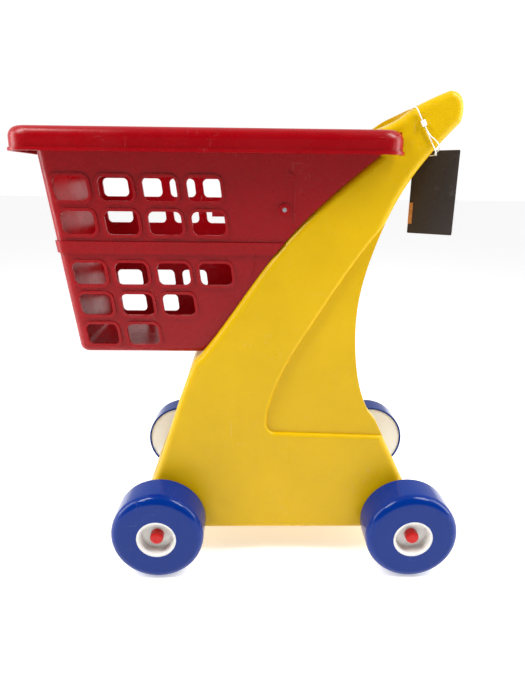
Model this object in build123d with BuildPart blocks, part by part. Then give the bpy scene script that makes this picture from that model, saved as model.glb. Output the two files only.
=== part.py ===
"""Child's push cart: moulded body, slatted basket with a fold-down seat, four wheels on two axles.

Millimetres. +Z is up, +X points from the basket to the handle, Y=0 is the plane of symmetry
and the wheels stand on Z=0.
"""
import os
from math import pi, radians, tan

from build123d import *

os.makedirs("parts", exist_ok=True)

# ---- overall sizes --------------------------------------------------------------------------
overall_length = 546.0
overall_width = 343.0
overall_height = 603.0

# ---- wheels and axles -----------------------------------------------------------------------
wheel_dia = 120.0
wheel_width = 48.0
wheelbase = 332.0
wheel_edge_radius = 11.5
tyre_wall = 3.0
hub_dish_dia = 51.0
hub_dish_depth = 13.0
hub_lip = 2.6
hub_back_wall = 2.5
hub_back_inset = 1.2
hub_tube_dia = 20.0
axle_dia = 8.0
running_fit = 0.05
side_play = 0.5
cap_dia = 17.0
cap_length = 11.0
cap_cover = 8.0

wheel_radius = wheel_dia / 2
rear_axle_x = overall_length / 2 - wheel_radius
front_axle_x = rear_axle_x - wheelbase
axle_z = wheel_radius
wheel_outer_y = overall_width / 2
wheel_inner_y = wheel_outer_y - wheel_width
dish_floor_y = wheel_outer_y - hub_dish_depth
axle_end_y = dish_floor_y + side_play + cap_cover

# ---- body -----------------------------------------------------------------------------------
body_foot_width = 238.0
body_top_width = 214.0
body_foot_z = 40.0
body_wall = 24.0
body_floor = 32.0
body_edge_radius = 9.0
side_recess_depth = 5.5
side_recess_round = 4.4
grip_slot_width = 32.0
grip_slot_end_wall = 25.0

# ---- basket ---------------------------------------------------------------------------------
basket_top_z = overall_height - 44.8
wall_top_z = basket_top_z - 5.2
basket_floor_z = 289.0
basket_wall = 3.0
basket_top_width = 232.0
basket_floor_width = 195.0
basket_front_top_x = -248.0
basket_front_floor_x = -219.0
basket_corner_radius = 14.0
basket_foot_radius = 10.0
belt_top_z = 431.0
belt_height = 14.0
belt_proud = 2.5
rim_height = 26.5
rim_width = 278.0
rim_bead_proud = 2.0
rim_bead_height = 3.5
rim_front_x = -overall_length / 2 + rim_bead_proud
rim_rear_x = 174.0
rim_corner_radius = 26.0
rim_edge_radius = 12.0
rim_floor_z = basket_top_z - rim_height
hole_length = 39.0
hole_height = 27.0
hole_corner_radius = 7.0
hole_pitch = 51.4
hole_first_x = -208.0
hole_lean = 0.12
hole_lip = 3.6
hole_lip_proud = 1.5
hole_rows = [(492, 4), (453, 4), (392, 4), (353, 3), (314, 2)]
panel_width = 150.0
panel_height = 62.0
panel_middle_z = 480.0
panel_corner_radius = 10.0
panel_depth = 0.9
basket_gap = 0.4

# ---- seat and screws ------------------------------------------------------------------------
seat_pivot_x = 40.5
seat_pivot_z = 470.0
seat_rod_dia = 5.3
seat_boss_dia = 14.0
seat_boss_proud = 3.0
seat_boss_reach = 5.0
seat_barrel_dia = 11.0
seat_length = 108.0
seat_thickness = 5.0
seat_rest_angle = 33.0
seat_stop_x = -38.0
screw_dia = 4.0
screw_head_dia = 10.0
screw_head_height = 3.0
screw_reach = 17.0
screw_clearance = 0.2
spotface_depth = 0.6

# ---- swing tag and its fastener ---------------------------------------------------------------
tag_width = 57.0
tag_height = 99.0
tag_thickness = 0.8
tag_hole_dia = 2.2
tag_hole_drop = 5.4
tag_tab_width = 5.0
tag_tab_height = 26.0
tag_tab_thickness = 0.4
tag_cord_dia = 1.2
tag_lock_length = 7.0
tag_lock_width = 5.0
tag_lock_depth = 3.6
tag_bead_dia = 4.4
tag_bead_thickness = 1.6

# ---- outlines shared by the body and the basket, in X and Z -----------------------------------
ramp_points = [(-54, 299), (-4, 369), (44, 434), (92, 483), (150, 532)]
front_edge = [(-158, body_foot_z), (-134, 102), (-110, 171), (-91, 229), (-71, 281)]
rear_edge = [(242, 569), (212, 536), (184, 497), (154, 430), (136, 356), (136, 295), (147, 237), (157, 213)]
handle_top = [(151, 562), (175, 575), (189, 585), (210, 596), (227, overall_height)]
handle_tip = [(227, overall_height), (240, 597), (244, 583), (242, 569)]
rear_foot = (236, axle_z)
ramp = Spline(ramp_points)
ramp_foot = ramp @ 0 - (ramp % 0) * (ramp_points[0][1] - basket_floor_z + basket_gap) / (ramp % 0).Y
screw_planes = [Plane(origin=(-4, y, 369), x_dir=(0, 1, 0), z_dir=(-0.809, 0, 0.587)) for y in (-60, 60)]
screw_planes += [Plane(origin=(92, y, 483), x_dir=(0, 1, 0), z_dir=(-0.679, 0, 0.734)) for y in (-60, 60)]


def body_half_width(z):
    """Half width of the body at height z."""
    share = (z - body_foot_z) / (overall_height - body_foot_z)
    return (body_foot_width + share * (body_top_width - body_foot_width)) / 2


def basket_half_width(z):
    """Half width of the basket at height z."""
    share = (z - basket_floor_z) / (wall_top_z - basket_floor_z)
    return (basket_floor_width + share * (basket_top_width - basket_floor_width)) / 2


def basket_front_x(z):
    """Where the basket's front wall stands at height z."""
    share = (z - basket_floor_z) / (wall_top_z - basket_floor_z)
    return basket_front_floor_x + share * (basket_front_top_x - basket_front_floor_x)


def taper_block(inset):
    """Long block with the body's draft on both sides, inset on each side."""
    low = body_foot_z - 10
    high = overall_height + 10
    with BuildPart() as block:
        with BuildSketch(Plane.YZ):
            with BuildLine():
                Polyline(
                    (-body_half_width(low) + inset, low),
                    (body_half_width(low) - inset, low),
                    (body_half_width(high) - inset, high),
                    (-body_half_width(high) + inset, high),
                    close=True,
                )
            make_face()
        extrude(amount=400, both=True)
    return block.part


def plan_section(z, grow):
    """Rounded plan outline of the basket at height z, grown outwards by grow."""
    front_x = basket_front_x(z) - grow
    rear_x = rim_rear_x + 60
    with BuildSketch(Plane.XY.offset(z)) as section:
        with Locations(((front_x + rear_x) / 2, 0)):
            RectangleRounded(rear_x - front_x, 2 * (basket_half_width(z) + grow), basket_corner_radius + grow)
    return section.sketch.face()


def basket_form(grow, low_z, high_z):
    """Tapered basket form between two heights, grown outwards by grow."""
    return loft([plan_section(low_z, grow), plan_section(high_z, grow)])


def ahead_of_ramp(inset):
    """The room the basket fills: over its floor and ahead of the ramp, inset from both."""
    steps = [step / 8 for step in range(9)]
    ramp_inset = [ramp @ step + (ramp % step).rotate(Axis.Z, 90) * inset for step in steps]
    foot = ramp_inset[0] - (ramp % 0) * 30
    top = basket_top_z + 20
    with BuildPart() as room:
        with BuildSketch(Plane.XZ):
            with BuildLine():
                Spline(ramp_inset)
                Polyline(ramp_inset[-1], (ramp_points[-1][0] - inset, top), (-400, top), (-400, foot.Y), foot)
                Line(foot, ramp_inset[0])
            make_face()
        extrude(amount=200, both=True)
        split(bisect_by=Plane.XY.offset(basket_floor_z + inset - basket_gap), keep=Keep.TOP)
    return room.part


def hole_block(plane, places, grow, low, high):
    """Leaning rounded slots at the given places on a plane, cut between two depths along its normal."""
    lean = hole_lean * hole_height / 2
    half = hole_length / 2
    with BuildPart() as block:
        with BuildSketch(plane.offset(low)) as slots:
            with Locations(*places):
                Polygon(
                    (-half - lean, hole_height / 2),
                    (-half + lean, -hole_height / 2),
                    (half + lean, -hole_height / 2),
                    (half - lean, hole_height / 2),
                    align=None,
                )
            fillet(slots.vertices(), hole_corner_radius)
            if grow:
                offset(amount=grow, mode=Mode.REPLACE)
        extrude(amount=high - low)
    return block.part


# ---- body -----------------------------------------------------------------------------------
outer_taper = taper_block(0)
recess_taper = taper_block(side_recess_depth)
inner_taper = taper_block(body_wall)

with BuildPart() as recess:
    with BuildSketch(Plane.XZ):
        with BuildLine():
            Spline((175, 470), (129, 410), (83, 338), (45, 272), (24, 214))
            FilletPolyline((24, 214), (22, 184), (280, 176), radius=12)
            Polyline((280, 176), (280, 470), (175, 470))
        make_face()
    extrude(amount=150, both=True)
    add(recess_taper, mode=Mode.SUBTRACT)

with BuildPart() as bay:
    with BuildSketch(Plane.XZ):
        with BuildLine():
            Polyline((-36, 286), (-54, 262), (-220, 262), (-220, body_foot_z + body_floor))
            Polyline((-220, body_foot_z + body_floor), (300, body_foot_z + body_floor), (300, 505))
            Polyline((300, 505), (196, 516), (166, 513))
            Spline((166, 513), (107, 464), (62, 418), (14, 356), (-36, 286))
        make_face()
    extrude(amount=150, both=True)
    add(inner_taper, mode=Mode.INTERSECT)

grip_plane = Plane(origin=(184, 0, 580), x_dir=(0.873, 0, 0.489), z_dir=(-0.489, 0, 0.873))

with BuildPart() as body:
    with BuildSketch(Plane.XZ):
        with BuildLine():
            Spline(front_edge)
            Polyline(front_edge[-1], ramp_foot, ramp_points[0])
            Spline(ramp_points)
            Polyline(ramp_points[-1], handle_top[0])
            Spline(handle_top)
            Spline(handle_tip)
            Spline(rear_edge)
            Polyline(rear_edge[-1], (168, 199), rear_foot, (240, body_foot_z), front_edge[0])
        make_face()
    extrude(amount=body_foot_width / 2 + 5, both=True)
    add(outer_taper, mode=Mode.INTERSECT)
    side_faces = body.faces().sort_by(Axis.Y)
    fillet(side_faces[0].edges() + side_faces[-1].edges(), body_edge_radius)
    add(recess.part, mode=Mode.SUBTRACT)
    ridge_edges = [
        ridge
        for ridge in body.edges(Select.LAST).filter_by_position(Axis.Z, 176, 440)
        if abs(abs(ridge.center().Y) - body_half_width(ridge.center().Z)) < side_recess_depth / 2
    ]
    fillet(ridge_edges, side_recess_round)
    add(bay.part, mode=Mode.SUBTRACT)
    with BuildSketch(grip_plane):
        RectangleRounded(grip_slot_width, body_top_width - 2 * grip_slot_end_wall, 12)
    extrude(amount=90, both=True, mode=Mode.SUBTRACT)
    with Locations((front_axle_x, 0, axle_z), (rear_axle_x, 0, axle_z)):
        Cylinder(axle_dia / 2, 2 * body_foot_width, rotation=(90, 0, 0), mode=Mode.SUBTRACT)
    with Locations(*screw_planes):
        Cylinder(screw_dia / 2, 2 * screw_reach, mode=Mode.SUBTRACT)
body.part.label = "body"

# ---- basket ---------------------------------------------------------------------------------
basket_room = ahead_of_ramp(basket_gap)
hollow_room = ahead_of_ramp(basket_gap + basket_wall)
outer_form = basket_form(0, basket_floor_z, wall_top_z)
inner_form = basket_form(-basket_wall, basket_floor_z, wall_top_z + 2)
lip_form = basket_form(hole_lip_proud, basket_floor_z, wall_top_z)
panel_form = basket_form(-panel_depth, basket_floor_z, wall_top_z)
belt_form = basket_form(belt_proud, belt_top_z - belt_height, belt_top_z)

side_places = [
    (hole_first_x + hole_lean * (hole_rows[0][0] - z) + i * hole_pitch, z)
    for z, count in hole_rows
    for i in range(count)
]
side_holes = hole_block(Plane.XZ, side_places, 0, -200, 200)
side_lips = hole_block(Plane.XZ, side_places, hole_lip, -200, 200)

with BuildPart() as hollow:
    add(inner_form)
    add(hollow_room, mode=Mode.INTERSECT)
    fillet(hollow.faces().sort_by(Axis.Z)[0].edges(), basket_foot_radius - basket_wall)

with BuildPart() as lips:
    add(side_lips)
    add(lip_form, mode=Mode.INTERSECT)
    add(basket_room, mode=Mode.INTERSECT)

with BuildPart() as front_panel:
    with BuildSketch(Plane.YZ.offset(basket_front_top_x - 30)):
        with Locations((0, panel_middle_z)):
            RectangleRounded(panel_width, panel_height, panel_corner_radius)
    extrude(amount=80)
    add(panel_form, mode=Mode.SUBTRACT)

with BuildPart() as belt:
    add(belt_form)
    add(basket_room, mode=Mode.INTERSECT)

with BuildPart() as collar:
    add(extrude(plan_section(wall_top_z, 0), amount=basket_top_z - wall_top_z, dir=(0, 0, 1)))
    add(basket_room, mode=Mode.INTERSECT)

with BuildPart() as mouth:
    add(extrude(plan_section(wall_top_z, -basket_wall), amount=rim_height, dir=(0, 0, 1), both=True))

rim_middle_x = (rim_front_x + rim_rear_x) / 2
rim_length = rim_rear_x - rim_front_x

with BuildPart() as rim_hollow:
    with BuildSketch(Plane.XY.offset(rim_floor_z)):
        with Locations((rim_middle_x, 0)):
            RectangleRounded(
                rim_length - 2 * basket_wall,
                rim_width - 2 * basket_wall,
                rim_corner_radius - basket_wall,
            )
    extrude(amount=rim_height - basket_wall)
    fillet(rim_hollow.faces().sort_by(Axis.Z)[-1].edges(), rim_edge_radius - basket_wall)

with BuildPart() as rim:
    with BuildSketch(Plane.XY.offset(rim_floor_z)):
        with Locations((rim_middle_x, 0)):
            RectangleRounded(rim_length, rim_width, rim_corner_radius)
    extrude(amount=rim_height)
    fillet(rim.faces().sort_by(Axis.Z)[-1].edges(), rim_edge_radius)
    with BuildSketch(Plane.XY.offset(rim_floor_z)):
        with Locations((rim_middle_x, 0)):
            RectangleRounded(
                rim_length + 2 * rim_bead_proud,
                rim_width + 2 * rim_bead_proud,
                rim_corner_radius + rim_bead_proud,
            )
    extrude(amount=rim_bead_height)
    add(rim_hollow.part, mode=Mode.SUBTRACT)
    add(collar.part)
    add(mouth.part, mode=Mode.SUBTRACT)

arm_gap_y = basket_half_width(rim_floor_z) - basket_wall
arm_start_x = ramp_points[-1][0] - basket_gap
arm_middle_x = (arm_start_x + rim_rear_x) / 2 - 2
seat_boss_y = basket_half_width(seat_pivot_z) + seat_boss_proud
seat_boss_inner_y = basket_half_width(seat_pivot_z) - basket_wall - seat_boss_reach

with BuildPart() as basket:
    add(outer_form)
    add(basket_room, mode=Mode.INTERSECT)
    fillet(basket.faces().sort_by(Axis.Z)[0].edges(), basket_foot_radius)
    add(belt.part)
    add(lips.part)
    add(hollow.part, mode=Mode.SUBTRACT)
    add(side_holes, mode=Mode.SUBTRACT)
    add(front_panel.part, mode=Mode.SUBTRACT)
    add(rim.part)
    with Locations(((arm_start_x + rim_rear_x + 10) / 2, 0, rim_floor_z + rim_height / 2)):
        Box(rim_rear_x + 10 - arm_start_x, 2 * arm_gap_y, 2 * rim_height, mode=Mode.SUBTRACT)
    for side in (-1, 1):
        with Locations((arm_middle_x, side * (arm_gap_y + basket_wall / 2), rim_floor_z + rim_height / 2)):
            Box(rim_rear_x - arm_start_x, basket_wall, rim_height - basket_wall)
        with Locations((seat_pivot_x, side * (seat_boss_y + seat_boss_inner_y) / 2, seat_pivot_z)):
            Cylinder(seat_boss_dia / 2, seat_boss_y - seat_boss_inner_y, rotation=(90, 0, 0))
        with Locations((seat_stop_x, side * (seat_boss_inner_y + seat_boss_reach / 2 + 1), seat_pivot_z - 6)):
            Box(14, seat_boss_reach + 4, 5)
    with Locations((seat_pivot_x, 0, seat_pivot_z)):
        Cylinder(seat_rod_dia / 2, overall_width, rotation=(90, 0, 0), mode=Mode.SUBTRACT)
    with Locations(*screw_planes):
        Cylinder(screw_dia / 2 + screw_clearance, 2 * screw_reach, mode=Mode.SUBTRACT)
    with Locations(*[plane.offset(basket_gap + basket_wall - spotface_depth + 5) for plane in screw_planes]):
        Cylinder(screw_head_dia / 2 + screw_clearance, 10, mode=Mode.SUBTRACT)
basket.part.label = "basket"

# ---- seat -----------------------------------------------------------------------------------
seat_half_width = seat_boss_inner_y - side_play

with BuildPart() as seat_flat:
    with BuildSketch(Plane.XY.offset(-seat_thickness / 2)):
        with Locations((seat_length / 2, 0)):
            RectangleRounded(seat_length, 2 * seat_half_width, 6)
    extrude(amount=seat_thickness)
    fillet(seat_flat.faces().sort_by(Axis.Z)[-1].edges(), 1.2)
    with BuildSketch(Plane.XY.offset(seat_thickness / 2)):
        with GridLocations(0, hole_pitch, 1, 3):
            with Locations((seat_length * 0.58, 0)):
                RectangleRounded(seat_length * 0.52, hole_length, hole_corner_radius)
    extrude(amount=-seat_thickness, mode=Mode.SUBTRACT)
    Cylinder(seat_barrel_dia / 2, 2 * seat_half_width, rotation=(90, 0, 0))
    Cylinder(seat_rod_dia / 2 + running_fit, 2 * seat_half_width, rotation=(90, 0, 0), mode=Mode.SUBTRACT)

seat_flap = Pos(seat_pivot_x, 0, seat_pivot_z) * Rot(0, -seat_rest_angle, 0) * seat_flat.part
seat_flap.label = "seat_flap"

with BuildPart() as seat_rod:
    with Locations((seat_pivot_x, 0, seat_pivot_z)):
        Cylinder(seat_rod_dia / 2, 2 * seat_boss_y - 1, rotation=(90, 0, 0))
seat_rod.part.label = "seat_rod"

# ---- screws that hold the basket to the body ---------------------------------------------------
with BuildPart() as basket_screws:
    head_seat = basket_gap + basket_wall - spotface_depth
    with Locations(*[plane.offset(head_seat) for plane in screw_planes]):
        Cylinder(screw_head_dia / 2, screw_head_height, align=(Align.CENTER, Align.CENTER, Align.MIN))
        Cylinder(screw_dia / 2, screw_reach, align=(Align.CENTER, Align.CENTER, Align.MAX))
    fillet(basket_screws.edges().filter_by(GeomType.CIRCLE).group_by(SortBy.RADIUS)[-1], 0.8)
basket_screws.part.label = "basket_screws"

# ---- axles, wheels and caps -------------------------------------------------------------------
axles = {}
for name, axle_x in (("front_axle", front_axle_x), ("rear_axle", rear_axle_x)):
    with BuildPart() as axle:
        with Locations((axle_x, 0, axle_z)):
            Cylinder(axle_dia / 2, 2 * axle_end_y, rotation=(90, 0, 0))
        chamfer(axle.edges().filter_by(GeomType.CIRCLE), 0.6)
    axles[name] = axle.part

hub_radius = hub_dish_dia / 2
boss_end_y = body_half_width(body_foot_z) + side_play
hub_bore = axle_dia / 2 + running_fit
back_y = wheel_inner_y + hub_back_inset
edge = wheel_edge_radius

with BuildPart() as tyre:
    with BuildSketch(Plane.XY):
        with BuildLine():
            FilletPolyline((hub_radius, wheel_outer_y), (wheel_radius, wheel_outer_y), (wheel_radius, wheel_inner_y),
                           radius=edge)
            Line((wheel_radius, wheel_inner_y), (wheel_radius - tyre_wall, wheel_inner_y))
            FilletPolyline(
                (wheel_radius - tyre_wall, wheel_inner_y),
                (wheel_radius - tyre_wall, wheel_outer_y - tyre_wall),
                (hub_radius, wheel_outer_y - tyre_wall),
                radius=edge - tyre_wall,
            )
            Line((hub_radius, wheel_outer_y - tyre_wall), (hub_radius, wheel_outer_y))
        make_face()
    revolve(axis=Axis.Y)

with BuildPart() as hub:
    with BuildSketch(Plane.XY):
        with BuildLine():
            Polyline(
                (hub_bore, dish_floor_y),
                (hub_radius - 2 * hub_lip, dish_floor_y),
                (hub_radius - hub_lip, wheel_outer_y),
                (hub_radius, wheel_outer_y),
                (hub_radius, dish_floor_y - hub_lip),
                (hub_tube_dia / 2, dish_floor_y - hub_lip),
                (hub_tube_dia / 2, back_y + hub_back_wall),
                (wheel_radius - tyre_wall, back_y + hub_back_wall),
                (wheel_radius - tyre_wall, back_y),
                (hub_tube_dia / 2, back_y),
                (hub_tube_dia / 2, boss_end_y),
                (hub_bore, boss_end_y),
                close=True,
            )
        make_face()
    revolve(axis=Axis.Y)

with BuildPart() as cap:
    with Locations((0, dish_floor_y + side_play, 0)):
        Cylinder(cap_dia / 2, cap_length, rotation=(-90, 0, 0), align=(Align.CENTER, Align.CENTER, Align.MIN))
        fillet(cap.edges().group_by(Axis.Y)[-1], 3.5)
        Cylinder(axle_dia / 2, cap_cover, rotation=(-90, 0, 0), align=(Align.CENTER, Align.CENTER, Align.MIN),
                 mode=Mode.SUBTRACT)

# ---- swing tag, hung from a plastic fastener looped round the near arm of the handle -----------
arm_plane = Plane(origin=(188.4, 0, 582.4), x_dir=(0, -1, 0), z_dir=(0.873, 0, 0.489))
arm_inner = body_top_width / 2 - grip_slot_end_wall - tag_cord_dia
arm_outer = body_half_width(overall_height - 60) + 0.8 * tag_cord_dia
arm_top = -2.8
arm_foot = 56.0
lock_middle = 17.5

with BuildPart() as tag_loop:
    with BuildLine(arm_plane) as loop_path:
        FilletPolyline(
            (arm_outer, arm_top),
            (arm_outer, arm_foot),
            (arm_inner, arm_foot),
            (arm_inner, arm_top),
            close=True,
            radius=[tag_cord_dia * 5, tag_cord_dia * 5, tag_cord_dia, tag_cord_dia],
        )
    with BuildSketch(Plane(loop_path.line @ 0, z_dir=loop_path.line % 0)):
        Circle(tag_cord_dia / 2)
    sweep()

with BuildPart() as tag_lock:
    with Locations(arm_plane * Pos(arm_outer + tag_lock_depth / 2 - tag_cord_dia * 0.8, lock_middle, 0)):
        Box(tag_lock_depth, tag_lock_length, tag_lock_width)
    fillet(tag_lock.edges(), 0.7)
    add(tag_loop.part, mode=Mode.SUBTRACT)

tag_plane = Plane(origin=(223.9, -79.7, 490.5), x_dir=(0.798, -0.603, 0), z_dir=(-0.603, -0.798, 0))

with BuildPart() as tag:
    with BuildSketch(tag_plane):
        RectangleRounded(tag_width, tag_height, 1.5)
        with Locations((0, tag_height / 2 - tag_hole_drop)):
            Circle(tag_hole_dia / 2, mode=Mode.SUBTRACT)
    extrude(amount=-tag_thickness)

with BuildPart() as tag_tab:
    with BuildSketch(tag_plane):
        with Locations((-tag_width / 2 + tag_tab_width / 2, -25)):
            Rectangle(tag_tab_width, tag_tab_height)
    extrude(amount=tag_tab_thickness)

with BuildPart() as tag_bead:
    with BuildSketch(tag_plane.offset(-tag_thickness)):
        with Locations((0, tag_height / 2 - tag_hole_drop)):
            Circle(tag_bead_dia / 2)
    extrude(amount=-tag_bead_thickness)

tail_start = (arm_plane * Pos(arm_outer + tag_lock_depth / 2 - tag_cord_dia * 0.8,
                              lock_middle + tag_lock_length / 2, 0)).position
tail_end = (tag_plane * Pos(0, tag_height / 2 - tag_hole_drop, -tag_thickness)).position
tail_route = [
    tail_start,
    tail_start + arm_plane.y_dir * 10.2,
    Vector(212.0, -111.9, 549.0),
    Vector(219.2, -106.7, 542.6),
    Vector(221.3, -97.0, 538.7),
    tail_end + tag_plane.z_dir * 10.3 + Vector(0, 0, 1.2),
    tail_end,
]
tail_runs = [after - before for before, after in zip(tail_route, tail_route[1:])]
tail_radii = []
for run, following in zip(tail_runs, tail_runs[1:]):
    half_turn = radians(run.get_angle(following)) / 2
    tail_radii.append(0.45 * min(run.length, following.length) / tan(half_turn))
print("tag tail runs", [round(run.length, 1) for run in tail_runs], "radii", [round(r, 1) for r in tail_radii])

with BuildPart() as tag_tail:
    with BuildLine() as tail_path:
        FilletPolyline(*tail_route, radius=tail_radii)
    with BuildSketch(Plane(tail_path.line @ 0, z_dir=tail_path.line % 0)):
        Circle(tag_cord_dia / 2)
    sweep()
tail_length = tail_path.wires()[0].length
tail_section = pi * tag_cord_dia ** 2 / 4
print("tag tail length", round(tail_length, 1), "volume share", tag_tail.part.volume / (tail_section * tail_length))

pieces = {
    "body": body.part,
    "basket": basket.part,
    "seat_flap": seat_flap,
    "seat_rod": seat_rod.part,
    "basket_screws": basket_screws.part,
    "tag_loop": tag_loop.part,
    "tag_lock": tag_lock.part,
    "tag_tail": tag_tail.part,
    "tag": tag.part,
    "tag_tab": tag_tab.part,
    "tag_bead": tag_bead.part,
}
pieces.update(axles)
for end, axle_x in (("front", front_axle_x), ("rear", rear_axle_x)):
    for side, source in (("left", Plane.XZ), ("right", None)):
        for kind, part in (("tyre", tyre.part), ("hub", hub.part), ("cap", cap.part)):
            placed = mirror(part, about=source) if source else part
            pieces[f"{end}_{side}_{kind}"] = Pos(axle_x, 0, axle_z) * placed

for name, piece in pieces.items():
    piece.label = name
    export_step(piece, f"parts/{name}.step")
    print(name, round(piece.volume), piece.bounding_box(), len(piece.solids()))
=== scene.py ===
"""Finishes and details a child's push cart: moulded yellow body, red basket, blue wheels and a swing tag.

Metres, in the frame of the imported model: +Z is up, +X points from the basket to the handle.
"""
import math

import bpy
from mathutils import Matrix, Vector


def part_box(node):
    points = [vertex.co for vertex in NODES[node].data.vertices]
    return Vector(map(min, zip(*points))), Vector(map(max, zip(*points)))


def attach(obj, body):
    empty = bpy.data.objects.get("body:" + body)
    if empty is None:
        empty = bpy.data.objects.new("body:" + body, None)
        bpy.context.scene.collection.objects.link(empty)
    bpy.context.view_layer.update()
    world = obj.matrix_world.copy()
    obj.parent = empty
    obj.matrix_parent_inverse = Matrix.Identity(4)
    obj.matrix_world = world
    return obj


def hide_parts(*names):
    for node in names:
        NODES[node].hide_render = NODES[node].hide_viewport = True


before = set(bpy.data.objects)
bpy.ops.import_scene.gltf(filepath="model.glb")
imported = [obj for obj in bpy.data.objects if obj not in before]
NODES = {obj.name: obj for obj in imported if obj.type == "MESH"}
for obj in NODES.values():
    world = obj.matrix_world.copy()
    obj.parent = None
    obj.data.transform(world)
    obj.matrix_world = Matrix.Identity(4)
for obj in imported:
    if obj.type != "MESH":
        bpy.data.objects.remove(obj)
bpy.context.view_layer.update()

bl_info = {
    "name": "Push cart finisher",
    "version": (1, 0, 0),
    "blender": (4, 5, 0),
    "location": "3D View > Sidebar > Push cart",
    "description": "Gives the packed push cart its moulded plastics, its small details and a studio",
    "category": "Object",
}

ENDS = ("front", "rear")
SIDES = ("left", "right")

# The basket's side walls lean outwards: half width at the floor, and how much it grows for each metre of height.
WALL_FOOT_HALF_WIDTH = 0.0975
WALL_SPREAD = 0.0701

# The swing tag's tail, from the lock on the handle to the bead behind the tag.
TAIL_ROUTE = (
    (0.19867, -0.11008, 0.56407),
    (0.20366, -0.11008, 0.55516),
    (0.21200, -0.11190, 0.54900),
    (0.21920, -0.10670, 0.54260),
    (0.22130, -0.09700, 0.53870),
    (0.21817, -0.08728, 0.53580),
    (0.22438, -0.07906, 0.53460),
)


# ---- settings ---------------------------------------------------------------------------------
def colour_setting(name, description, default):
    """Colour property of a finish, in linear light."""
    return bpy.props.FloatVectorProperty(
        name=name, description=description, default=default, subtype="COLOR", size=3, min=0.0, max=1.0
    )


class CartFinishSettings(bpy.types.PropertyGroup):
    """Colours and surface values of the cart's plastics."""

    body_yellow: colour_setting("Body yellow", "Blow-moulded body", (0.62, 0.385, 0.0))
    basket_red: colour_setting("Basket red", "Injection-moulded basket and seat", (0.27, 0.0, 0.003))
    wheel_blue: colour_setting("Wheel blue", "Wheel shells", (0.0, 0.022, 0.19))
    hub_white: colour_setting("Hub white", "Wheel hubs", (0.74, 0.74, 0.71))
    cap_red: colour_setting("Cap red", "Push-on axle caps", (0.52, 0.010, 0.008))
    card_brown: colour_setting("Card brown", "Face of the swing tag", (0.020, 0.011, 0.010))
    tab_orange: colour_setting("Tab orange", "Coloured strip on the swing tag", (0.50, 0.20, 0.05))
    grain: bpy.props.FloatProperty(
        name="Grain", description="Depth of the moulded grain on the body", default=0.00012,
        min=0.0, max=0.001, unit="LENGTH", precision=5,
    )


class CartDetailSettings(bpy.types.PropertyGroup):
    """Sizes of the small details that are added to the model."""

    ridge_width: bpy.props.FloatProperty(
        name="Ridge width", description="Width of the raised lines beside the seat pivots",
        default=0.0013, min=0.0002, max=0.005, unit="LENGTH", precision=4,
    )
    tail_diameter: bpy.props.FloatProperty(
        name="Tail diameter", description="Thickness of the swing tag's plastic tail",
        default=0.0012, min=0.0005, max=0.003, unit="LENGTH", precision=4,
    )


class CartStageSettings(bpy.types.PropertyGroup):
    """Camera, lights and floor."""

    camera_place: bpy.props.FloatVectorProperty(
        name="Camera place", description="Where the camera stands", default=(0.002, -0.7794, 0.499),
        size=3, subtype="TRANSLATION", unit="LENGTH",
    )
    camera_pitch: bpy.props.FloatProperty(
        name="Pitch", description="How far the camera looks down", default=0.293, unit="ROTATION"
    )
    camera_yaw: bpy.props.FloatProperty(
        name="Yaw", description="How far the camera turns toward the handle", default=0.0214, unit="ROTATION"
    )
    camera_roll: bpy.props.FloatProperty(
        name="Roll", description="Tilt of the camera about its own view", default=0.011, unit="ROTATION"
    )
    lens: bpy.props.FloatProperty(
        name="Lens", description="Focal length on a 36 mm frame", default=28.29, min=10.0, max=200.0
    )
    key_power: bpy.props.FloatProperty(
        name="Key power", description="Strength of each overhead softbox in watts", default=15.0, min=0.0
    )


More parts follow.
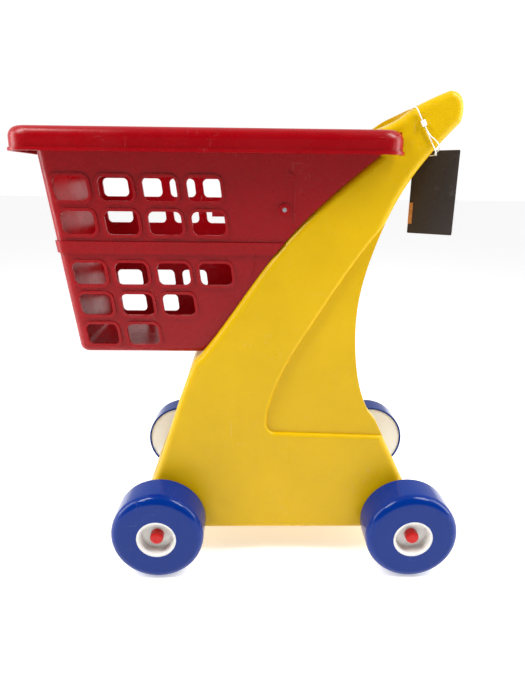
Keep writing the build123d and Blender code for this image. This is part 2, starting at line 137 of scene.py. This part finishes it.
# ---- material helpers -------------------------------------------------------------------------
class Finish:
    """Small builder for a node material read on Object coordinates."""

    def __init__(self, name, colour):
        self.material = bpy.data.materials.new(name)
        self.material.use_nodes = True
        self.material.diffuse_color = (*colour, 1.0)
        self.tree = self.material.node_tree
        self.shader = self.tree.nodes["Principled BSDF"]
        self.place = self.add("ShaderNodeTexCoord").outputs["Object"]
        self.height = None

    def add(self, kind, **values):
        """New node; values whose names are node attributes are set there, others on its inputs."""
        node = self.tree.nodes.new(kind)
        for key, value in values.items():
            if hasattr(node, key):
                setattr(node, key, value)
            else:
                node.inputs[key.replace("_", " ")].default_value = value
        return node

    def link(self, source, target):
        """Wire an output to an input."""
        self.tree.links.new(source, target)

    def stretched(self, scale):
        """Object coordinates stretched by a scale for each axis."""
        mapping = self.add("ShaderNodeMapping", Scale=scale)
        self.link(self.place, mapping.inputs["Vector"])
        return mapping.outputs["Vector"]

    def noise(self, scale, detail=3.0, roughness=0.55, where=None):
        """Noise value at a scale in features per metre."""
        node = self.add("ShaderNodeTexNoise", Scale=scale, Detail=detail, Roughness=roughness)
        self.link(where or self.place, node.inputs["Vector"])
        return node.outputs["Fac"]

    def cells(self, scale):
        """Smooth cells, as in the leathery grain of a blow mould."""
        node = self.add("ShaderNodeTexVoronoi", feature="SMOOTH_F1", Scale=scale, Smoothness=0.6)
        self.link(self.place, node.inputs["Vector"])
        return node.outputs["Distance"]

    def span(self, value, low, high, to_low=0.0, to_high=1.0):
        """Value mapped from one range to another and clamped."""
        node = self.add("ShaderNodeMapRange", clamp=True)
        node.inputs["From Min"].default_value = low
        node.inputs["From Max"].default_value = high
        node.inputs["To Min"].default_value = to_low
        node.inputs["To Max"].default_value = to_high
        self.link(value, node.inputs["Value"])
        return node.outputs["Result"]

    def maths(self, operation, first, second):
        """Two values joined by a maths operation; second may be a number."""
        node = self.add("ShaderNodeMath", operation=operation)
        self.link(first, node.inputs[0])
        if isinstance(second, (int, float)):
            node.inputs[1].default_value = second
        else:
            self.link(second, node.inputs[1])
        return node.outputs[0]

    def blend(self, factor, first, second):
        """Two colours mixed by a factor; each colour is a triple or an output."""
        node = self.add("ShaderNodeMix", data_type="RGBA")
        for socket, colour in ((node.inputs[6], first), (node.inputs[7], second)):
            if isinstance(colour, tuple):
                socket.default_value = (*colour, 1.0)
            else:
                self.link(colour, socket)
        self.link(factor, node.inputs[0])
        return node.outputs[2]

    def bump(self, value, distance, strength=1.0):
        """Add a bump over the bumps so far; distance in metres."""
        node = self.add("ShaderNodeBump", Strength=strength, Distance=distance)
        self.link(value, node.inputs["Height"])
        if self.height is not None:
            self.link(self.height, node.inputs["Normal"])
        self.height = node.outputs["Normal"]

    def finish(self, colour, roughness):
        """Wire the colour, roughness and bumps to the shader."""
        self.link(colour, self.shader.inputs["Base Color"])
        self.link(roughness, self.shader.inputs["Roughness"])
        if self.height is not None:
            self.link(self.height, self.shader.inputs["Normal"])
        return self.material


def tone(colour, share):
    """Colour made darker or lighter by a share."""
    return tuple(min(1.0, max(0.0, part * share)) for part in colour)


def pale(colour, share):
    """Colour moved toward white by a share."""
    return tuple(part + (1.0 - part) * share for part in colour)


def moulded(name, colour, gloss, grain, cell_scale=0.0, scuffing=0.25, glow=0.0):
    """Moulded plastic with flow tones, moulded grain, haze and light handling scuffs."""
    made = Finish(name, colour)
    flow = made.noise(7.0, 4.0, 0.6)
    fine = made.noise(90.0, 3.0, 0.5)
    base = made.blend(made.span(flow, 0.35, 0.68), tone(colour, 0.93), tone(colour, 1.05))
    base = made.blend(made.span(fine, 0.55, 0.8, 0.0, 0.18), base, tone(colour, 0.82))
    scratch = made.span(made.noise(1.0, 2.0, 0.5, made.stretched((60.0, 60.0, 700.0))), 0.66, 0.74)
    cross = made.span(made.noise(1.0, 2.0, 0.5, made.stretched((520.0, 90.0, 70.0))), 0.67, 0.74)
    worn = made.span(made.noise(11.0, 4.0, 0.6), 0.52, 0.7)
    scuff = made.maths("MULTIPLY", made.maths("MAXIMUM", scratch, cross), worn)
    scuff_tone = made.maths("MULTIPLY", scuff, scuffing)
    base = made.blend(scuff_tone, base, pale(colour, 0.35))
    haze = made.span(made.noise(26.0, 5.0, 0.65), 0.3, 0.75, gloss - 0.05, gloss + 0.08)
    roughness = made.maths("ADD", haze, made.maths("MULTIPLY", scuff, 0.18))
    made.bump(made.noise(14.0, 2.0, 0.5), 0.0010, 0.35)
    made.bump(made.noise(1100.0, 2.0, 0.5), grain, 0.5)
    if cell_scale:
        made.bump(made.cells(cell_scale), grain * 1.5, 0.55)
    made.bump(scuff, 0.00004, 0.35)
    made.shader.inputs["IOR"].default_value = 1.49
    made.shader.inputs["Specular IOR Level"].default_value = 0.22
    if glow:
        made.shader.inputs["Subsurface Weight"].default_value = glow
        made.shader.inputs["Subsurface Radius"].default_value = (1.0, 0.45, 0.2)
        made.shader.inputs["Subsurface Scale"].default_value = 0.006
    return made.finish(base, roughness)


def drawn_steel(name):
    """Drawn steel rod with fine lines round it and faint dull spots."""
    colour = (0.52, 0.52, 0.54)
    made = Finish(name, colour)
    lines = made.noise(1.0, 3.0, 0.6, made.stretched((300.0, 2600.0, 300.0)))
    spots = made.span(made.noise(140.0, 4.0, 0.6), 0.55, 0.75)
    base = made.blend(made.span(lines, 0.3, 0.7), tone(colour, 0.8), tone(colour, 1.1))
    base = made.blend(made.maths("MULTIPLY", spots, 0.4), base, (0.22, 0.20, 0.19))
    roughness = made.maths("ADD", made.span(lines, 0.3, 0.7, 0.22, 0.38), made.maths("MULTIPLY", spots, 0.2))
    made.bump(lines, 0.00005, 0.5)
    made.shader.inputs["Metallic"].default_value = 1.0
    return made.finish(base, roughness)


def printed_card(name, colour):
    """Dark matt card with paper fibres and faintly rubbed ink."""
    made = Finish(name, colour)
    fibres = made.noise(1.0, 4.0, 0.6, made.stretched((900.0, 900.0, 300.0)))
    rubbed = made.span(made.noise(60.0, 5.0, 0.7), 0.6, 0.78)
    base = made.blend(made.span(fibres, 0.35, 0.7), tone(colour, 0.75), tone(colour, 1.35))
    base = made.blend(made.maths("MULTIPLY", rubbed, 0.3), base, pale(colour, 0.12))
    made.bump(fibres, 0.00006, 0.6)
    made.bump(made.noise(30.0, 2.0, 0.5), 0.0006, 0.3)
    return made.finish(base, made.span(made.noise(220.0, 3.0, 0.6), 0.3, 0.7, 0.42, 0.6))


def clear_nylon(name):
    """Milky nylon of the tag's fastener."""
    colour = (0.84, 0.84, 0.82)
    made = Finish(name, colour)
    cloud = made.noise(160.0, 3.0, 0.5)
    base = made.blend(made.span(cloud, 0.35, 0.7), tone(colour, 0.9), colour)
    made.bump(made.noise(900.0, 2.0, 0.5), 0.00003, 0.5)
    made.shader.inputs["Subsurface Weight"].default_value = 0.3
    made.shader.inputs["Subsurface Scale"].default_value = 0.001
    return made.finish(base, made.span(cloud, 0.3, 0.7, 0.28, 0.42))


def dress(material, *names):
    """Give a material to every slot of CAD nodes."""
    for name in names:
        mesh = NODES[name].data
        mesh.materials.clear()
        mesh.materials.append(material)


# ---- modelling helpers ------------------------------------------------------------------------
def clear_selection():
    """Leave edit mode and select nothing."""
    if bpy.context.object and bpy.context.object.mode != "OBJECT":
        bpy.ops.object.mode_set(mode="OBJECT")
    bpy.ops.object.select_all(action="DESELECT")


def settle(piece):
    """Move a finished piece's place into its mesh and smooth it."""
    clear_selection()
    piece.select_set(True)
    bpy.context.view_layer.objects.active = piece
    bpy.ops.object.transform_apply(location=True, rotation=True, scale=True)
    bpy.ops.object.shade_smooth_by_angle(angle=math.radians(40))


def side_wall_y(z):
    """Half width of the basket's outer face at height z."""
    return WALL_FOOT_HALF_WIDTH + WALL_SPREAD * (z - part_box("basket")[0].z)


def swept_ridge(name, route, width, axis):
    """Raised line with a round section that runs through the points of a route, which bends about an axis."""
    clear_selection()
    bpy.ops.mesh.primitive_circle_add(vertices=12, radius=width / 2, fill_type="NGON", location=route[0])
    piece = bpy.context.object
    piece.name = name
    bpy.ops.object.mode_set(mode="EDIT")
    bpy.ops.mesh.select_all(action="SELECT")
    heading = Vector((0.0, 0.0, 1.0))
    for place, following in zip(route, route[1:]):
        step = Vector(following) - Vector(place)
        bpy.ops.mesh.extrude_region_move(TRANSFORM_OT_translate={"value": step})
        turn = math.atan2(step.x, step.z) - math.atan2(heading.x, heading.z)
        bpy.ops.transform.rotate(value=-turn, orient_axis=axis, center_override=following)
        heading = step
    bpy.ops.mesh.select_all(action="SELECT")
    bpy.ops.mesh.normals_make_consistent(inside=False)
    settle(piece)
    return piece


# ---- operators --------------------------------------------------------------------------------
class CART_OT_body(bpy.types.Operator):
    """Finish the blow-moulded body in grained yellow"""

    bl_idname = "cart.body"
    bl_label = "Body"

    def execute(self, context):
        finish = context.scene.cart_finish
        yellow = moulded("body_yellow", tuple(finish.body_yellow), 0.30, finish.grain, 620.0, 0.3, 0.12)
        dress(yellow, "body")
        return {"FINISHED"}


class CART_OT_basket(bpy.types.Operator):
    """Finish the basket and its folding seat in glossy red"""

    bl_idname = "cart.basket"
    bl_label = "Basket and seat"

    def execute(self, context):
        finish = context.scene.cart_finish
        red = moulded("basket_red", tuple(finish.basket_red), 0.27, finish.grain / 3, 0.0, 0.3, 0.3)
        dress(red, "basket", "seat_flap")
        return {"FINISHED"}


class CART_OT_ridges(bpy.types.Operator):
    """Add the fine raised lines on both sides of the basket beside the seat pivots"""

    bl_idname = "cart.ridges"
    bl_label = "Basket side lines"

    def execute(self, context):
        width = context.scene.cart_detail.ridge_width
        red = NODES["basket"].data.materials[0]
        for side, sign in (("left", -1.0), ("right", 1.0)):
            upper = [(0.0520, 0.4440), (0.0524, 0.5020)]
            upper += [
                (0.0404 + 0.0120 * math.cos(math.radians(angle)), 0.5020 + 0.0120 * math.sin(math.radians(angle)))
                for angle in (18, 36, 54, 72)
            ]
            lower = [(0.0020, 0.3870), (0.0040, 0.4000), (0.0060, 0.4160)]
            for label, line in (("upper", upper), ("lower", lower)):
                route = [(x, sign * (side_wall_y(z) + width * 0.05), z) for x, z in line]
                ridge = swept_ridge(f"basket_line_{label}_{side}", route, width, "Y")
                ridge.data.materials.append(red)
                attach(ridge, "chassis")
        return {"FINISHED"}


class CART_OT_wheels(bpy.types.Operator):
    """Finish the blue wheel shells, the white hubs and the red axle caps"""

    bl_idname = "cart.wheels"
    bl_label = "Wheels"

    def execute(self, context):
        finish = context.scene.cart_finish
        blue = moulded("wheel_blue", tuple(finish.wheel_blue), 0.14, finish.grain / 8, 0.0, 0.12, 0.0)
        white = moulded("hub_white", tuple(finish.hub_white), 0.38, finish.grain / 3, 0.0, 0.1, 0.1)
        red = moulded("cap_red", tuple(finish.cap_red), 0.30, finish.grain / 2, 0.0, 0.2, 0.1)
        for end in ENDS:
            for side in SIDES:
                dress(blue, f"{end}_{side}_tyre")
                dress(white, f"{end}_{side}_hub")
                dress(red, f"{end}_{side}_cap")
        return {"FINISHED"}


class CART_OT_metal(bpy.types.Operator):
    """Finish the axles, the seat rod and the screws in drawn steel"""

    bl_idname = "cart.metal"
    bl_label = "Metal parts"

    def execute(self, context):
        steel = drawn_steel("steel")
        dress(steel, "front_axle", "rear_axle", "seat_rod", "basket_screws")
        return {"FINISHED"}


class CART_OT_tag(bpy.types.Operator):
    """Finish the blank swing tag and string it on its plastic tail"""

    bl_idname = "cart.tag"
    bl_label = "Swing tag"

    def execute(self, context):
        finish = context.scene.cart_finish
        diameter = context.scene.cart_detail.tail_diameter
        nylon = clear_nylon("nylon")
        dress(nylon, "tag_loop", "tag_lock", "tag_bead")
        dress(printed_card("tag_card", tuple(finish.card_brown)), "tag")
        dress(printed_card("tag_tab", tuple(finish.tab_orange)), "tag_tab")
        line = bpy.data.curves.new("tag_tail_line", "CURVE")
        line.dimensions = "3D"
        line.bevel_depth = diameter / 2
        line.bevel_resolution = 4
        line.resolution_u = 16
        line.use_fill_caps = True
        spline = line.splines.new("NURBS")
        spline.points.add(len(TAIL_ROUTE) - 1)
        for point, place in zip(spline.points, TAIL_ROUTE):
            point.co = (*place, 1.0)
        spline.order_u = 3
        spline.use_endpoint_u = True
        tail = bpy.data.objects.new("tag_tail_cord", line)
        context.scene.collection.objects.link(tail)
        line.materials.append(nylon)
        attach(tail, "chassis")
        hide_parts("tag_tail")
        return {"FINISHED"}


class CART_OT_stage(bpy.types.Operator):
    """Set up the pale floor, the soft studio light and the camera"""

    bl_idname = "cart.stage"
    bl_label = "Stage"

    def execute(self, context):
        scene = context.scene
        stage = scene.cart_stage
        self.lay_floor(stage)
        self.light_studio(scene, stage)
        self.place_camera(scene, stage)
        return {"FINISHED"}

    def lay_floor(self, stage):
        """Pale matt floor with a very faint unevenness."""
        clear_selection()
        bpy.ops.mesh.primitive_plane_add(size=40.0, location=(0.0, 0.0, -0.0004))
        floor = bpy.context.object
        floor.name = "studio_floor"
        settle(floor)
        made = Finish("studio_floor", (0.9, 0.9, 0.9))
        cloud = made.noise(3.0, 3.0, 0.5)
        tint = made.blend(made.span(cloud, 0.3, 0.7), (0.90, 0.90, 0.90), (0.92, 0.92, 0.92))
        made.shader.inputs["Emission Color"].default_value = (1.0, 1.0, 1.0, 1.0)
        made.shader.inputs["Emission Strength"].default_value = 0.46
        floor.data.materials.append(made.finish(tint, made.span(cloud, 0.3, 0.7, 0.75, 0.85)))

    def light_studio(self, scene, stage):
        """White surround that lights less from the near side, two overhead softboxes and two at the sides."""
        world = bpy.data.worlds.new("studio")
        scene.world = world
        world.use_nodes = True
        tree = world.node_tree
        shade = tree.nodes["Background"]
        place = tree.nodes.new("ShaderNodeTexCoord")
        parts = tree.nodes.new("ShaderNodeSeparateXYZ")
        ramp = tree.nodes.new("ShaderNodeMapRange")
        ramp.inputs["From Min"].default_value = -0.45
        ramp.inputs["From Max"].default_value = 0.15
        ramp.inputs["To Min"].default_value = 0.07
        ramp.inputs["To Max"].default_value = 0.80
        tree.links.new(place.outputs["Generated"], parts.inputs["Vector"])
        tree.links.new(parts.outputs["Y"], ramp.inputs["Value"])
        tree.links.new(ramp.outputs["Result"], shade.inputs["Strength"])
        backdrop = tree.nodes.new("ShaderNodeBackground")
        backdrop.inputs["Strength"].default_value = 1.02
        seen = tree.nodes.new("ShaderNodeLightPath")
        choice = tree.nodes.new("ShaderNodeMixShader")
        tree.links.new(seen.outputs["Is Camera Ray"], choice.inputs["Fac"])
        tree.links.new(shade.outputs["Background"], choice.inputs[1])
        tree.links.new(backdrop.outputs["Background"], choice.inputs[2])
        tree.links.new(choice.outputs["Shader"], tree.nodes["World Output"].inputs["Surface"])
        for light in (shade, backdrop):
            light.inputs["Color"].default_value = (1.0, 1.0, 1.0, 1.0)
        boxes = (
            ("softbox_left", (-0.80, -0.45, 1.30), 0.35, 0.7, stage.key_power),
            ("softbox_right", (0.85, -0.40, 1.30), 0.35, 0.7, stage.key_power),
            ("side_left", (-1.35, -0.15, 0.60), 0.5, 1.0, stage.key_power * 0.7),
            ("side_right", (1.35, -0.15, 0.60), 0.5, 1.0, stage.key_power * 0.7),
        )
        for name, place_at, width, height, power in boxes:
            lamp = bpy.data.lights.new(name, "AREA")
            lamp.shape = "RECTANGLE"
            lamp.size = width
            lamp.size_y = height
            lamp.energy = power
            box = bpy.data.objects.new(name, lamp)
            scene.collection.objects.link(box)
            box.location = place_at
            aim = Vector((0.0, 0.0, 0.3)) - Vector(place_at)
            box.rotation_euler = aim.to_track_quat("-Z", "Y").to_euler()

    def place_camera(self, scene, stage):
        """Camera on the cart's near side, looking slightly down."""
        lens = bpy.data.cameras.new("camera")
        lens.lens = stage.lens
        lens.sensor_width = 36.0
        lens.clip_start = 0.05
        lens.clip_end = 60.0
        camera = bpy.data.objects.new("camera", lens)
        scene.collection.objects.link(camera)
        turn = Matrix.Rotation(-stage.camera_yaw, 4, "Z")
        tilt = Matrix.Rotation(math.pi / 2 - stage.camera_pitch, 4, "X")
        roll = Matrix.Rotation(stage.camera_roll, 4, "Z")
        camera.matrix_world = Matrix.Translation(stage.camera_place) @ turn @ tilt @ roll
        scene.camera = camera
        scene.view_settings.view_transform = "Standard"


# ---- panel and registration -------------------------------------------------------------------
STEPS = (CART_OT_body, CART_OT_basket, CART_OT_ridges, CART_OT_wheels, CART_OT_metal, CART_OT_tag, CART_OT_stage)


class CART_PT_panel(bpy.types.Panel):
    """Lists the cart's pieces in the order they are made"""

    bl_idname = "CART_PT_panel"
    bl_label = "Push cart"
    bl_space_type = "VIEW_3D"
    bl_region_type = "UI"
    bl_category = "Push cart"

    def draw(self, context):
        for settings in (context.scene.cart_finish, context.scene.cart_detail, context.scene.cart_stage):
            for key in settings.bl_rna.properties.keys():
                if key not in ("rna_type", "name"):
                    self.layout.prop(settings, key)
        for step in STEPS:
            self.layout.operator(step.bl_idname)


CLASSES = (CartFinishSettings, CartDetailSettings, CartStageSettings, *STEPS, CART_PT_panel)


def register():
    """Register the classes and hang the settings on the scene."""
    for kind in CLASSES:
        bpy.utils.register_class(kind)
    bpy.types.Scene.cart_finish = bpy.props.PointerProperty(type=CartFinishSettings)
    bpy.types.Scene.cart_detail = bpy.props.PointerProperty(type=CartDetailSettings)
    bpy.types.Scene.cart_stage = bpy.props.PointerProperty(type=CartStageSettings)


def unregister():
    """Take the settings and the classes away again."""
    del bpy.types.Scene.cart_finish
    del bpy.types.Scene.cart_detail
    del bpy.types.Scene.cart_stage
    for kind in reversed(CLASSES):
        bpy.utils.unregister_class(kind)


def main():
    """Make every piece in order."""
    register()
    bpy.ops.cart.tag()
    bpy.ops.cart.body()
    bpy.ops.cart.basket()
    bpy.ops.cart.ridges()
    bpy.ops.cart.wheels()
    bpy.ops.cart.metal()
    bpy.ops.cart.stage()
    clear_selection()


if __name__ == "__main__":
    main()
